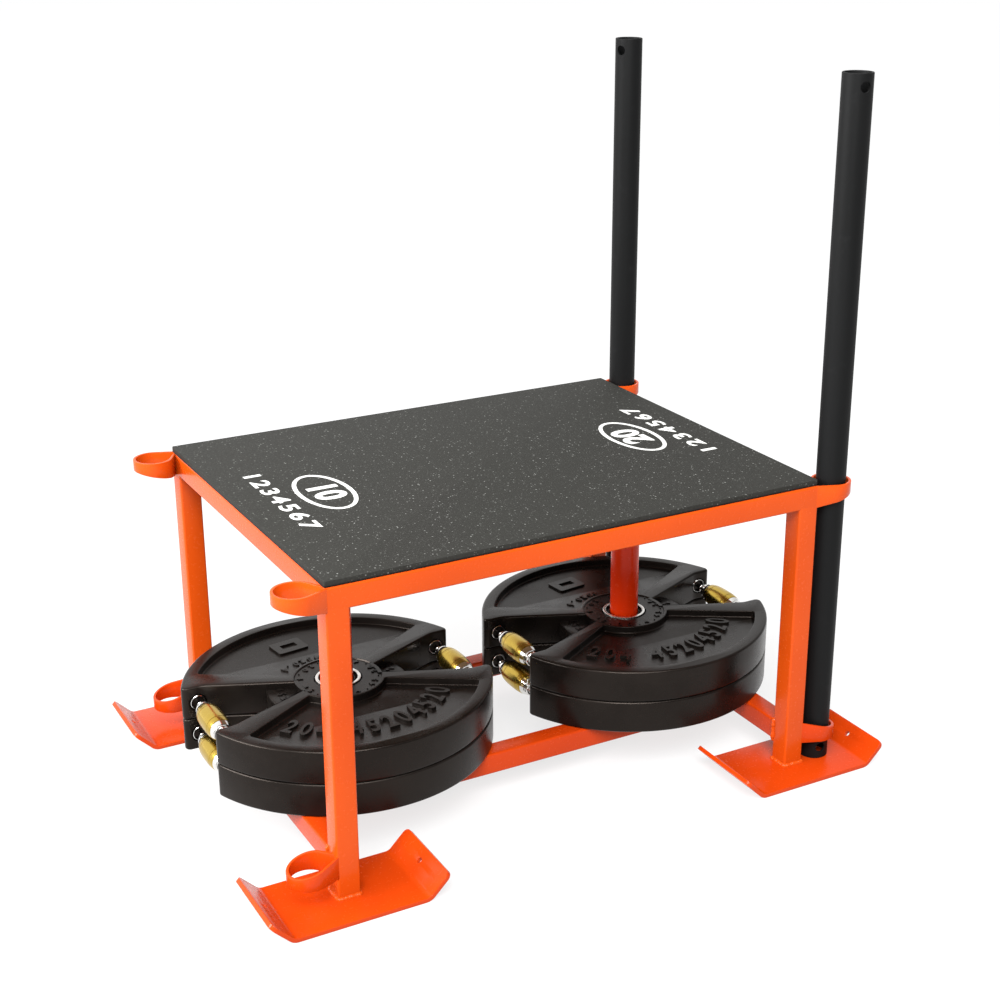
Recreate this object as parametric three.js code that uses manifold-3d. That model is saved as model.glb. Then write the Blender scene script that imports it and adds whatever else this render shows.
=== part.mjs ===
import * as THREE from 'three';
import { mergeVertices } from 'three/addons/utils/BufferGeometryUtils.js';
import Module from 'manifold-3d';

const wasm = await Module();
wasm.setup();

// A drag sled that is also a low bench: a welded frame of square tube on four ski feet,
// a rubber-topped deck, two stacks of grip plates on upright horns and two push posts.
// Lengths are in millimetres and angles in radians. X runs along the sled to the push posts,
// Y away from the near side and Z up. The origin is on the floor at the middle of the sled.

// Fits and cuts
const seatGap = 0.3; // between pieces that touch
const cutOverrun = 5; // how far a cutter runs past the face that it opens

// Square steel tube of the frame
const tubeSide = 32;
const tubeWall = 3;
const tubeCorner = 3;
const tubeBoreCorner = 1;
const tubeCornerSteps = 2;
const tubeBoreSteps = 1;

// Frame, over the outer faces of the legs
const frameLength = 755;
const frameWidth = 595;
const railTop = 448;
const beamTop = 70;
const lowerBeamSpread = 276; // between the middles of the two lower beams
const bearerRim = 1; // the tube under a horn is wider than the horn by this much on each side

// Foot plates, bent up at both ends
const footLength = 254;
const footWidth = 130;
const footThickness = 6;
const footFlatLength = 178;
const footBendRadius = 12; // at the inner side of the bend
const footBendAngle = Math.PI / 4;
const footBendSteps = 3;
const footCornerRadius = 9;
const footCornerSteps = 2;
const footOutset = 3; // how far the foot's middle lies outward of the leg's middle, both ways
const footHoleDiameter = 8;
const footHoleSides = 10;

// Deck
const matSideInset = 3; // from the frame's side faces to the mat
const matThickness = 8.5;
const matCorner = 2;
const matCornerSteps = 1;
const matEdge = 1;
const boardThickness = 15;
const boardPlay = 1; // between the board's edges and the rails
const boardCorner = 3;
const boardCornerSteps = 1;
const ledgeWidth = 20;
const ledgeThickness = 4;

// Push posts, round tube
const postDiameter = 47;
const postWall = 3;
const postTop = 1018;
const postHoleDiameter = 15;
const postHoleInset = 18; // from each end to the middle of a cross hole
const postHoleSides = 10;
const postSides = 22;
const nearPostTurn = -1.71; // the way that the cross holes face
const farPostTurn = -2.775;

// Strip rings that hold the push posts
const ringPlay = 3; // between the post and the ring, over both sides
const ringInnerDiameter = postDiameter + ringPlay;
const ringStrip = 4;
const postStandOff = 10.5; // from the frame's end face to the post
const ringReach = postDiameter / 2 + postStandOff; // from the end face to the ring's middle
const ringInset = 16.5; // from the frame's side face to the ring's middle
const ringHeight = tubeSide; // at the weld
const ringTipHeight = 16; // at the farthest point
const ringSteps = 14;

// Weight horns, round tube
const hornDiameter = 48;
const hornWall = 4;
const hornTop = 325;
const hornEdge = 1.5;
const hornSides = 20;

// Weight plates
const plateDiameter = 450;
const plateThickness = 49.5;
const stackGap = 40; // between the plates of the two stacks
const hornSpread = plateDiameter + stackGap; // between the middles of the two horns
const plateEdge = 5; // rounding of every outer edge
const plateEdgeSteps = 2;
const plateRimSteps = 8;
const plateRimWidth = 19; // raised rim around the pockets
const bossDiameter = 136; // raised boss around the hub
const pocketDepth = 11;
const pocketTurn = 0.545; // from the X axis to a pocket's side
const pocketFillet = 6;
const pocketFilletSteps = 2;
const pocketRimSteps = 5;
const pocketBossSteps = 2;
const notchMouthShare = 0.298; // of the plate's diameter
const notchMouth = plateDiameter * notchMouthShare; // between the walls that carry a grip
const notchApex = 28; // where the sides of a notch would meet, from the plate's middle
const notchSpread = 0.4084; // between a notch's side and the X axis
const notchFloorDepth = 6; // how far a notch runs into the boss
const webDiameter = 208; // sunk web around the boss, in the notches
const webRecess = 12; // from each face of the plate to the web
const webSides = 28;
const notchFillet = 34;
const notchFilletSteps = 2;
const notchFloorSteps = 1;
const mouthFillet = 8;
const mouthFilletSteps = 2;

// Hub rings
const hubClearance = 2.4; // between the horn and the hub ring, over both sides
const hubBore = hornDiameter + hubClearance;
const hubWall = 9.8;
const hubDiameter = hubBore + 2 * hubWall;
const hubChamfer = 2;
const hubSides = 22;
const hubFit = 0.3; // between the hub ring and the plate

// Grips across the notches
const gripInset = 35; // from the plate's rim to the grip's axis
const gripReach = plateDiameter / 2 - gripInset;
const pinDiameter = 9;
const cupDiameter = 26;
const cupWall = 3;
const cupDepth = 6; // seated in the notch wall
const cupFloor = 2;
const cupLip = 1; // proud of the notch wall
const shoulderStep = 1.5; // the pin is thicker by this much on both sides of the sleeve
const pinSides = 10;
const sleeveStandOff = 22; // between the sleeve and each notch wall
const sleeveLength = notchMouth - 2 * sleeveStandOff;
const sleeveClearance = 0.8; // between the pin and the sleeve, over both sides
const sleeveWaist = 40; // largest diameter, at the middle
const sleeveShoulder = 30; // where the barrel starts
const sleeveFullness = 3; // a higher power keeps the barrel wide for more of its length
const sleeveEnd = 24;
const sleeveEndLength = 8;
const sleevePlay = 0.5; // between the sleeve and each shoulder of the pin
const sleeveSides = 14;
const sleeveBarrelSteps = 4;

const turn = 2 * Math.PI;
const quarter = Math.PI / 2;

// Materials

function material(color, roughness, metalness) {
  return new THREE.MeshStandardMaterial({ color, roughness, metalness });
}

const orangePaint = () => material('#f4651f', 0.42, 0.1);
const blackPaint = () => material('#26282b', 0.5, 0.1);
const matRubber = () => material('#4a4a47', 0.92, 0);
const plateRubber = () => material('#2c2b2b', 0.6, 0);
const boardWood = () => material('#8c6a45', 0.8, 0);
const hubSteel = () => material('#9a958e', 0.35, 1);
const pinChrome = () => material('#d8d6d2', 0.15, 1);
const gripBrass = () => material('#c99a34', 0.22, 1);

// Outlines

function arc(centre, radius, from, to, steps) {
  const points = [];
  for (let i = 0; i <= steps; i += 1) {
    const angle = from + ((to - from) * i) / steps;
    points.push(new THREE.Vector2(
      centre.x + radius * Math.cos(angle),
      centre.y + radius * Math.sin(angle),
    ));
  }
  return points;
}

function roundedRectangle(width, height, radius, steps) {
  const x = width / 2 - radius;
  const y = height / 2 - radius;
  return [
    ...arc(new THREE.Vector2(x, -y), radius, -quarter, 0, steps),
    ...arc(new THREE.Vector2(x, y), radius, 0, quarter, steps),
    ...arc(new THREE.Vector2(-x, y), radius, quarter, 2 * quarter, steps),
    ...arc(new THREE.Vector2(-x, -y), radius, 2 * quarter, 3 * quarter, steps),
  ];
}

function flipped(points, signX, signY) {
  return points.map((point) => new THREE.Vector2(point.x * signX, point.y * signY));
}

// Solids

function welded(geometry) {
  const bare = new THREE.BufferGeometry();
  bare.setAttribute('position', geometry.getAttribute('position').clone());
  if (geometry.index) {
    bare.setIndex(geometry.index.clone());
  }
  const merged = mergeVertices(bare);
  const position = merged.getAttribute('position');
  const index = merged.index.array;
  const kept = [];
  let volume = 0;
  const a = new THREE.Vector3();
  const b = new THREE.Vector3();
  const c = new THREE.Vector3();
  for (let i = 0; i < index.length; i += 3) {
    const [p, q, r] = [index[i], index[i + 1], index[i + 2]];
    if (p !== q && q !== r && r !== p) {
      kept.push(p, q, r);
      a.fromBufferAttribute(position, p);
      b.fromBufferAttribute(position, q);
      c.fromBufferAttribute(position, r);
      volume += a.dot(b.cross(c));
    }
  }
  if (volume < 0) {
    kept.reverse();
  }
  merged.setIndex(kept);
  return merged;
}

function solidOf(geometry) {
  const closed = welded(geometry);
  return new wasm.Manifold(new wasm.Mesh({
    numProp: 3,
    vertProperties: new Float32Array(closed.getAttribute('position').array),
    triVerts: new Uint32Array(closed.index.array),
  }));
}

function geometryOf(solid) {
  const mesh = solid.getMesh();
  const geometry = new THREE.BufferGeometry();
  geometry.setAttribute('position', new THREE.BufferAttribute(new Float32Array(mesh.vertProperties), 3));
  geometry.setIndex(new THREE.BufferAttribute(new Uint32Array(mesh.triVerts), 1));
  return geometry;
}

function cut(geometry, cutters) {
  let solid = solidOf(geometry);
  for (const cutter of cutters) {
    solid = solid.subtract(solidOf(cutter));
  }
  return geometryOf(solid);
}

function prism(points, from, to) {
  const geometry = new THREE.ExtrudeGeometry(new THREE.Shape(points), {
    depth: to - from,
    bevelEnabled: false,
  });
  geometry.translate(0, 0, from);
  return geometry;
}

function rod(radius, length, sides) {
  const geometry = new THREE.CylinderGeometry(radius, radius, length, sides);
  geometry.rotateX(quarter);
  return geometry;
}

// A closed profile of [radius, height] pairs, turned around the Z axis.
function revolved(profile, sides) {
  const points = profile.map(([radius, height]) => new THREE.Vector2(radius, height));
  const geometry = new THREE.LatheGeometry(points, sides);
  geometry.rotateX(quarter);
  return geometry;
}

function piece(name, geometry, paint) {
  const flat = welded(geometry).toNonIndexed();
  flat.computeVertexNormals();
  const mesh = new THREE.Mesh(flat, paint);
  mesh.name = name;
  return mesh;
}

function group(name, children) {
  const holder = new THREE.Group();
  holder.name = name;
  holder.add(...children);
  return holder;
}

// Square tube with its outer side at +X and its length along Z. A mitred end is cut back
// toward the inner side, at 45 degrees.
function squareTube(width, height, length, mitred) {
  const shape = new THREE.Shape(roundedRectangle(width, height, tubeCorner, tubeCornerSteps));
  const bore = [width - 2 * tubeWall, height - 2 * tubeWall];
  shape.holes.push(new THREE.Path(roundedRectangle(...bore, tubeBoreCorner, tubeBoreSteps)));
  const geometry = new THREE.ExtrudeGeometry(shape, { depth: length, bevelEnabled: false });
  geometry.translate(0, 0, -length / 2);
  if (mitred) {
    const position = geometry.getAttribute('position');
    for (let i = 0; i < position.count; i += 1) {
      const back = width / 2 - position.getX(i);
      const z = position.getZ(i);
      position.setZ(i, z - Math.sign(z) * back);
    }
  }
  return geometry;
}

// Tube laid level, with its outer side facing the given way.
function laidTube(name, section, length, centre, outward, mitred = false) {
  const mesh = piece(name, squareTube(section[0], section[1], length, mitred), orangePaint());
  const up = new THREE.Vector3(0, 0, 1);
  const along = new THREE.Vector3().crossVectors(outward, up);
  const basis = new THREE.Matrix4().makeBasis(outward, up, along);
  mesh.quaternion.setFromRotationMatrix(basis);
  mesh.position.copy(centre);
  return mesh;
}

// Foot plate, its underside on Z = 0 and its bends across X.
function footPlate() {
  const outer = footBendRadius + footThickness;
  const bendStart = footFlatLength / 2;
  const bend = new THREE.Vector2(bendStart, outer);
  const bottom = arc(bend, outer, -quarter, footBendAngle - quarter, footBendSteps);
  const top = arc(bend, footBendRadius, footBendAngle - quarter, -quarter, footBendSteps);
  const bendEnd = bottom[bottom.length - 1];
  const slope = (footLength / 2 - bendEnd.x) / Math.cos(footBendAngle);
  const along = new THREE.Vector2(Math.cos(footBendAngle), Math.sin(footBendAngle));
  const normal = new THREE.Vector2(-along.y, along.x);
  const lowTip = bendEnd.clone().addScaledVector(along, slope);
  const highTip = lowTip.clone().addScaledVector(normal, footThickness);
  const right = [...bottom, lowTip, highTip, ...top];
  const section = [...right, ...flipped(right, -1, 1).reverse()];
  const blank = prism(section, -footWidth / 2 - cutOverrun, footWidth / 2 + cutOverrun);
  blank.rotateX(quarter);
  const plan = roundedRectangle(footLength, footWidth, footCornerRadius, footCornerSteps);
  const trimmed = solidOf(blank).intersect(solidOf(prism(plan, -cutOverrun, highTip.y + cutOverrun)));
  const middle = bendEnd.clone().addScaledVector(along, slope / 2).addScaledVector(normal, footThickness / 2);
  const holes = [1, -1].map((side) => {
    const hole = rod(footHoleDiameter / 2, footThickness + 2 * cutOverrun, footHoleSides);
    hole.rotateY(-side * footBendAngle);
    hole.translate(side * middle.x, 0, middle.y);
    return hole;
  });
  return cut(geometryOf(trimmed), holes);
}

// Strip ring bent around a post. Its two ends meet the frame's end face near the corner, which
// is the origin here. The strip narrows from the weld to the farthest point: from below on an
// upper ring, from above on a lower one.
function stripRing(signX, signY, upper) {
  const outer = ringInnerDiameter / 2 + ringStrip;
  const centre = new THREE.Vector2(ringReach, -ringInset);
  const sideStart = new THREE.Vector2(seatGap, 0);
  const innerStart = new THREE.Vector2(seatGap, -ringInset);
  const toSide = centre.clone().sub(sideStart);
  const toInner = centre.clone().sub(innerStart);
  const sideTurn = toSide.angle() - turn + Math.asin(outer / toSide.length());
  const innerTurn = -Math.asin(outer / toInner.length());
  const from = sideTurn + quarter;
  const to = innerTurn - quarter;
  const sideEnd = seatGap * Math.tan(sideTurn);
  const outline = [
    sideStart,
    ...arc(centre, outer, from, to, ringSteps),
    innerStart,
    new THREE.Vector2(seatGap, innerStart.y + ringStrip / Math.cos(innerTurn)),
    ...arc(centre, ringInnerDiameter / 2, to, from, ringSteps),
    new THREE.Vector2(seatGap, sideStart.y - ringStrip / Math.cos(sideTurn) - sideEnd),
  ];
  const geometry = prism(flipped(outline, signX, signY), 0, ringHeight);
  const position = geometry.getAttribute('position');
  const reach = ringReach + outer;
  for (let i = 0; i < position.count; i += 1) {
    const narrowing = ((ringHeight - ringTipHeight) * Math.abs(position.getX(i))) / reach;
    const z = position.getZ(i);
    if (upper && z < ringHeight / 2) {
      position.setZ(i, z + narrowing);
    }
    if (!upper && z > ringHeight / 2) {
      position.setZ(i, z - narrowing);
    }
  }
  return geometry;
}

// Open round tube standing on Z = 0, with a small chamfer around its upper edge.
function roundTube(radius, wall, height, edge, sides) {
  return revolved([
    [radius - wall, 0],
    [radius, 0],
    [radius, height - edge],
    [radius - edge, height],
    [radius - wall, height],
    [radius - wall, 0],
  ], sides);
}

function pushPost(length) {
  const radius = postDiameter / 2;
  const blank = roundTube(radius, postWall, length, postWall / 2, postSides);
  const holes = [postHoleInset, length - postHoleInset].map((height) => {
    const hole = rod(postHoleDiameter / 2, postDiameter + 2 * cutOverrun, postHoleSides);
    hole.rotateY(quarter);
    hole.translate(0, 0, height);
    return hole;
  });
  return cut(blank, holes);
}

// A quarter of the plate's outline, from the middle of a notch round to the Y axis.
function plateQuarter() {
  const radius = plateDiameter / 2;
  const mouth = notchMouth / 2;
  const floor = bossDiameter / 2 - notchFloorDepth;
  const origin = new THREE.Vector2(0, 0);
  const side = new THREE.Vector2(Math.cos(notchSpread), Math.sin(notchSpread));
  const offset = notchApex * side.y;
  const floorTurn = notchSpread - Math.asin(offset / floor);
  const corner = new THREE.Vector2(notchApex + mouth / Math.tan(notchSpread), mouth);
  const start = corner.clone().addScaledVector(side, -notchFillet * Math.tan(notchSpread / 2));
  const hollow = new THREE.Vector2(start.x + notchFillet * side.y, start.y - notchFillet * side.x);
  const lipHeight = mouth + mouthFillet;
  const lipReach = radius - mouthFillet;
  const lip = new THREE.Vector2(Math.sqrt(lipReach ** 2 - lipHeight ** 2), lipHeight);
  const rimTurn = lip.angle();
  return [
    ...arc(origin, floor, 0, floorTurn, notchFloorSteps),
    ...arc(hollow, notchFillet, quarter + notchSpread, quarter, notchFilletSteps),
    ...arc(lip, mouthFillet, -quarter, rimTurn, mouthFilletSteps),
    ...arc(origin, radius, rimTurn, quarter, plateRimSteps).slice(1),
  ];
}

function plateOutline() {
  const first = plateQuarter();
  const second = flipped(first, -1, 1).reverse().slice(1);
  const upper = [...first, ...second];
  const lower = flipped(upper, 1, -1).reverse().slice(1, -1);
  return [...upper, ...lower];
}

// Pocket between the boss and the rim, centred on the +Y side.
function pocketOutline() {
  const rim = plateDiameter / 2 - plateRimWidth;
  const boss = bossDiameter / 2;
  const origin = new THREE.Vector2(0, 0);
  const rimReach = rim - pocketFillet;
  const bossReach = boss + pocketFillet;
  const rimTurn = pocketTurn + Math.asin(pocketFillet / rimReach);
  const bossTurn = pocketTurn + Math.asin(pocketFillet / bossReach);
  const rimCorner = new THREE.Vector2(rimReach, 0).rotateAround(origin, rimTurn);
  const bossCorner = new THREE.Vector2(bossReach, 0).rotateAround(origin, bossTurn);
  const sideTurn = pocketTurn - quarter;
  const half = [
    ...arc(origin, boss, quarter, bossTurn, pocketBossSteps),
    ...arc(bossCorner, pocketFillet, bossTurn - Math.PI, sideTurn, pocketFilletSteps).slice(1),
    ...arc(rimCorner, pocketFillet, sideTurn, rimTurn, pocketFilletSteps),
    ...arc(origin, rim, rimTurn, quarter, pocketRimSteps).slice(1),
  ];
  return [...half, ...flipped(half, -1, 1).reverse().slice(1, -1)];
}

function weightPlate() {
  const shape = new THREE.Shape(plateOutline());
  const blank = new THREE.ExtrudeGeometry(shape, {
    depth: plateThickness - 2 * plateEdge,
    bevelEnabled: true,
    bevelThickness: plateEdge,
    bevelSize: plateEdge,
    bevelOffset: -plateEdge,
    bevelSegments: plateEdgeSteps,
  });
  blank.translate(0, 0, plateEdge);
  const web = rod(webDiameter / 2, plateThickness - 2 * webRecess, webSides);
  web.translate(0, 0, plateThickness / 2);
  const webbed = geometryOf(solidOf(blank).add(solidOf(web)));
  const bore = rod(hubDiameter / 2 + hubFit, plateThickness + 2 * cutOverrun, hubSides);
  bore.translate(0, 0, plateThickness / 2);
  const cutters = [bore];
  for (const side of [1, -1]) {
    const outline = flipped(pocketOutline(), 1, side);
    cutters.push(prism(outline, plateThickness - pocketDepth, plateThickness + cutOverrun));
    cutters.push(prism(outline, -cutOverrun, pocketDepth));
    for (const end of [1, -1]) {
      const socketDepth = cupDepth + seatGap;
      const socket = rod(cupDiameter / 2 + seatGap, socketDepth + cutOverrun, pinSides);
      socket.rotateX(quarter);
      const middle = notchMouth / 2 + (socketDepth - cutOverrun) / 2;
      socket.translate(end * gripReach, side * middle, plateThickness / 2);
      cutters.push(socket);
    }
  }
  return cut(webbed, cutters);
}

function hubRing() {
  const bore = hubBore / 2;
  return revolved([
    [bore, hubChamfer],
    [bore + hubChamfer, 0],
    [hubDiameter / 2, 0],
    [hubDiameter / 2, plateThickness],
    [bore + hubChamfer, plateThickness],
    [bore, plateThickness - hubChamfer],
    [bore, hubChamfer],
  ], hubSides);
}

// Pin across a notch, with a seated cup at each end and a shoulder on each side of the sleeve.
function gripPin() {
  const wall = notchMouth / 2;
  const shoulder = sleeveLength / 2 + sleevePlay;
  const half = [
    [pinDiameter / 2, shoulder],
    [pinDiameter / 2 + shoulderStep, shoulder],
    [pinDiameter / 2 + shoulderStep, wall + cupDepth - cupFloor],
    [cupDiameter / 2 - cupWall, wall + cupDepth - cupFloor],
    [cupDiameter / 2 - cupWall, wall - cupLip],
    [cupDiameter / 2, wall - cupLip],
    [cupDiameter / 2, wall + cupDepth],
    [0, wall + cupDepth],
  ];
  const mirrored = half.map(([radius, height]) => [radius, -height]).reverse();
  const geometry = revolved([...mirrored, ...half], pinSides);
  geometry.rotateX(quarter);
  return geometry;
}

// Barrel sleeve that turns on the pin, with a stepped collar at each end.
function gripSleeve() {
  const half = sleeveLength / 2;
  const barrelHalf = half - sleeveEndLength;
  const barrel = [];
  for (let i = -sleeveBarrelSteps; i <= sleeveBarrelSteps; i += 2) {
    const share = i / sleeveBarrelSteps;
    const swell = (sleeveWaist - sleeveShoulder) * (1 - Math.abs(share) ** sleeveFullness);
    barrel.push([(sleeveShoulder + swell) / 2, share * barrelHalf]);
  }
  const collar = [
    [sleeveEnd / 2, barrelHalf],
    [sleeveEnd / 2, half],
    [(pinDiameter + sleeveClearance) / 2, half],
  ];
  const foot = collar.map(([radius, height]) => [radius, -height]).reverse();
  const geometry = revolved([...foot, ...barrel, ...collar, foot[0]], sleeveSides);
  geometry.rotateX(quarter);
  return geometry;
}

// Frame

const legX = (frameLength - tubeSide) / 2;
const legY = (frameWidth - tubeSide) / 2;
const railZ = railTop - tubeSide / 2;
const beamZ = beamTop - tubeSide / 2;
const section = [tubeSide, tubeSide];
const corners = [
  ['near_left', -1, -1],
  ['near_right', 1, -1],
  ['far_left', -1, 1],
  ['far_right', 1, 1],
];
const towardX = (sign) => new THREE.Vector3(sign, 0, 0);
const towardY = (sign) => new THREE.Vector3(0, sign, 0);

function topFrame() {
  const shorter = seatGap * Math.SQRT2;
  const long = frameLength - shorter;
  const short = frameWidth - shorter;
  return group('top_frame', [
    laidTube('rail_near', section, long, new THREE.Vector3(0, -legY, railZ), towardY(-1), true),
    laidTube('rail_far', section, long, new THREE.Vector3(0, legY, railZ), towardY(1), true),
    laidTube('rail_left', section, short, new THREE.Vector3(-legX, 0, railZ), towardX(-1), true),
    laidTube('rail_right', section, short, new THREE.Vector3(legX, 0, railZ), towardX(1), true),
  ]);
}

function legs() {
  const bottom = footThickness + seatGap;
  const top = railTop - tubeSide - seatGap;
  return group('legs', corners.map(([place, signX, signY]) => {
    const tube = squareTube(tubeSide, tubeSide, top - bottom, false);
    const leg = piece(`leg_${place}`, tube, orangePaint());
    leg.position.set(signX * legX, signY * legY, (top + bottom) / 2);
    return leg;
  }));
}

function feet() {
  const plate = footPlate();
  return group('feet', corners.map(([place, signX, signY]) => {
    const foot = piece(`foot_${place}`, plate, orangePaint());
    foot.position.set(signX * (legX + footOutset), signY * (legY + footOutset), 0);
    return foot;
  }));
}

function lowerFrame() {
  const betweenLegs = frameWidth - 2 * tubeSide - 2 * seatGap;
  const betweenEnds = frameLength - 2 * tubeSide - 2 * seatGap;
  const betweenBeams = lowerBeamSpread - tubeSide - 2 * seatGap;
  const beamY = lowerBeamSpread / 2;
  const bearer = [hornDiameter + 2 * bearerRim, tubeSide];
  const bearerX = hornSpread / 2;
  return group('lower_frame', [
    laidTube('cross_beam_left', section, betweenLegs, new THREE.Vector3(-legX, 0, beamZ), towardX(-1)),
    laidTube('cross_beam_right', section, betweenLegs, new THREE.Vector3(legX, 0, beamZ), towardX(1)),
    laidTube('lower_beam_near', section, betweenEnds, new THREE.Vector3(0, -beamY, beamZ), towardY(-1)),
    laidTube('lower_beam_far', section, betweenEnds, new THREE.Vector3(0, beamY, beamZ), towardY(1)),
    laidTube('horn_bearer_left', bearer, betweenBeams, new THREE.Vector3(-bearerX, 0, beamZ), towardX(-1)),
    laidTube('horn_bearer_right', bearer, betweenBeams, new THREE.Vector3(bearerX, 0, beamZ), towardX(1)),
  ]);
}

function horns() {
  const foot = beamTop + seatGap;
  return group('horns', [['left', -1], ['right', 1]].map(([place, sign]) => {
    const tube = roundTube(hornDiameter / 2, hornWall, hornTop - foot, hornEdge, hornSides);
    const horn = piece(`weight_horn_${place}`, tube, orangePaint());
    horn.position.set((sign * hornSpread) / 2, 0, foot);
    return horn;
  }));
}

function postRings() {
  const rings = [];
  for (const [place, signX, signY] of corners) {
    for (const [level, base] of [['upper', railTop - ringHeight], ['lower', beamTop - ringHeight]]) {
      const strip = stripRing(signX, signY, level === 'upper');
      const ring = piece(`${level}_ring_${place}`, strip, orangePaint());
      ring.position.set((signX * frameLength) / 2, (signY * frameWidth) / 2, base);
      rings.push(ring);
    }
  }
  return group('post_rings', rings);
}

function deck() {
  const openLength = frameLength - 2 * tubeSide;
  const openWidth = frameWidth - 2 * tubeSide;
  const boardBottom = railTop - boardThickness;
  const ledgeTop = boardBottom - seatGap;
  const boardPlan = roundedRectangle(
    openLength - 2 * boardPlay,
    openWidth - 2 * boardPlay,
    boardCorner,
    boardCornerSteps,
  );
  const board = piece('deck_board', prism(boardPlan, boardBottom, railTop), boardWood());
  const matWidth = frameWidth - 2 * matSideInset;
  const matPlan = new THREE.Shape(roundedRectangle(frameLength, matWidth, matCorner, matCornerSteps));
  const matSheet = new THREE.ExtrudeGeometry(matPlan, {
    depth: matThickness - 2 * matEdge,
    bevelEnabled: true,
    bevelThickness: matEdge,
    bevelSize: matEdge,
    bevelOffset: -matEdge,
    bevelSegments: 1,
  });
  const mat = piece('rubber_mat', matSheet, matRubber());
  mat.position.z = railTop + seatGap + matEdge;
  const ledges = [['near', -1], ['far', 1]].map(([place, sign]) => {
    const bar = new THREE.BoxGeometry(openLength - 2 * seatGap, ledgeWidth, ledgeThickness);
    const ledge = piece(`deck_ledge_${place}`, bar, orangePaint());
    const inward = openWidth / 2 - seatGap - ledgeWidth / 2;
    ledge.position.set(0, sign * inward, ledgeTop - ledgeThickness / 2);
    return ledge;
  });
  return group('deck', [board, mat, ...ledges]);
}

// Moving parts

function pushPosts() {
  const foot = footThickness + seatGap;
  const x = frameLength / 2 + ringReach;
  const y = frameWidth / 2 - ringInset;
  return group('push_posts', [['near', -1, nearPostTurn], ['far', 1, farPostTurn]].map((item) => {
    const [place, sign, facing] = item;
    const post = piece(`push_post_${place}`, pushPost(postTop - foot), blackPaint());
    post.position.set(x, sign * y, foot);
    post.rotation.z = facing;
    return post;
  }));
}

function plateSet(stack, level, outerSign, shapes) {
  const plate = piece(`plate_${stack}_${level}`, shapes.plate, plateRubber());
  const hub = piece(`hub_ring_${stack}_${level}`, shapes.hub, hubSteel());
  const set = group(`plate_set_${stack}_${level}`, [plate, hub]);
  for (const [end, sign] of [['outer', outerSign], ['inner', -outerSign]]) {
    const pin = piece(`grip_pin_${stack}_${level}_${end}`, shapes.pin, pinChrome());
    const sleeve = piece(`grip_sleeve_${stack}_${level}_${end}`, shapes.sleeve, gripBrass());
    const grip = group(`grip_${stack}_${level}_${end}`, [pin, sleeve]);
    grip.position.set(sign * gripReach, 0, plateThickness / 2);
    set.add(grip);
  }
  return set;
}

function plateStacks() {
  const shapes = {
    plate: weightPlate(),
    hub: hubRing(),
    pin: gripPin(),
    sleeve: gripSleeve(),
  };
  const sets = [];
  for (const [stack, sign] of [['left', -1], ['right', 1]]) {
    for (const [level, below] of [['lower', 0], ['upper', 1]]) {
      const set = plateSet(stack, level, sign, shapes);
      const base = beamTop + seatGap + below * (plateThickness + seatGap);
      set.position.set((sign * hornSpread) / 2, 0, base);
      sets.push(set);
    }
  }
  return group('plate_stacks', sets);
}

const sled = group('drag_sled', [
  topFrame(),
  legs(),
  feet(),
  lowerFrame(),
  horns(),
  postRings(),
  deck(),
  pushPosts(),
  plateStacks(),
]);

export default sled;
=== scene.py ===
from math import asin, atan2, copysign, cos, pi, radians, sin, sqrt, tan

import bmesh
import bpy
from mathutils import Matrix, Vector, geometry


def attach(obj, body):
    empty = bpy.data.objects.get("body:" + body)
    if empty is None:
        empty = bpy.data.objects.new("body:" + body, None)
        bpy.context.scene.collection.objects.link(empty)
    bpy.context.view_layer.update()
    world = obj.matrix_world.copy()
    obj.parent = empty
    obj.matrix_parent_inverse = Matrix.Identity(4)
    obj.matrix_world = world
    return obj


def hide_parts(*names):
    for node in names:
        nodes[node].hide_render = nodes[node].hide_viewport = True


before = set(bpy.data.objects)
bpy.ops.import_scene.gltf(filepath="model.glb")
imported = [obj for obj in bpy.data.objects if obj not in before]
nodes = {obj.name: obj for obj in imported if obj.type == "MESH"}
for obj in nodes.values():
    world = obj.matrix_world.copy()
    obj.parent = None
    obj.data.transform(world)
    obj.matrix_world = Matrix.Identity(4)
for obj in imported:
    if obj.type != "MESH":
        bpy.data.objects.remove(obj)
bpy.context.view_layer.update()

# A drag sled: orange tube frame on ski feet, rubber deck, two stacks of grip plates, two push posts.
# Metres; X runs along the sled to the push posts, Y away from the near side, Z up.

mm = 0.001
quarter = pi / 2
corners = [("near_left", -1, -1), ("near_right", 1, -1), ("far_left", -1, 1), ("far_right", 1, 1)]
stacks = [("left", -1), ("right", 1)]
levels = [("lower", 0), ("upper", 1)]
rows = [("near", -1), ("far", 1)]


# a shader socket that adds its own Math nodes
class Signal:
    def __init__(self, look, socket):
        self.look = look
        self.socket = socket

    def maths(self, operation, first, second):
        return self.look.node("ShaderNodeMath", {"operation": operation}, {0: first, 1: second})

    def __add__(self, other):
        return self.maths("ADD", self, other)

    __radd__ = __add__

    def __sub__(self, other):
        return self.maths("SUBTRACT", self, other)

    def __rsub__(self, other):
        return self.maths("SUBTRACT", other, self)

    def __mul__(self, other):
        return self.maths("MULTIPLY", self, other)

    __rmul__ = __mul__

    def __gt__(self, other):
        return self.maths("GREATER_THAN", self, other)


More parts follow.
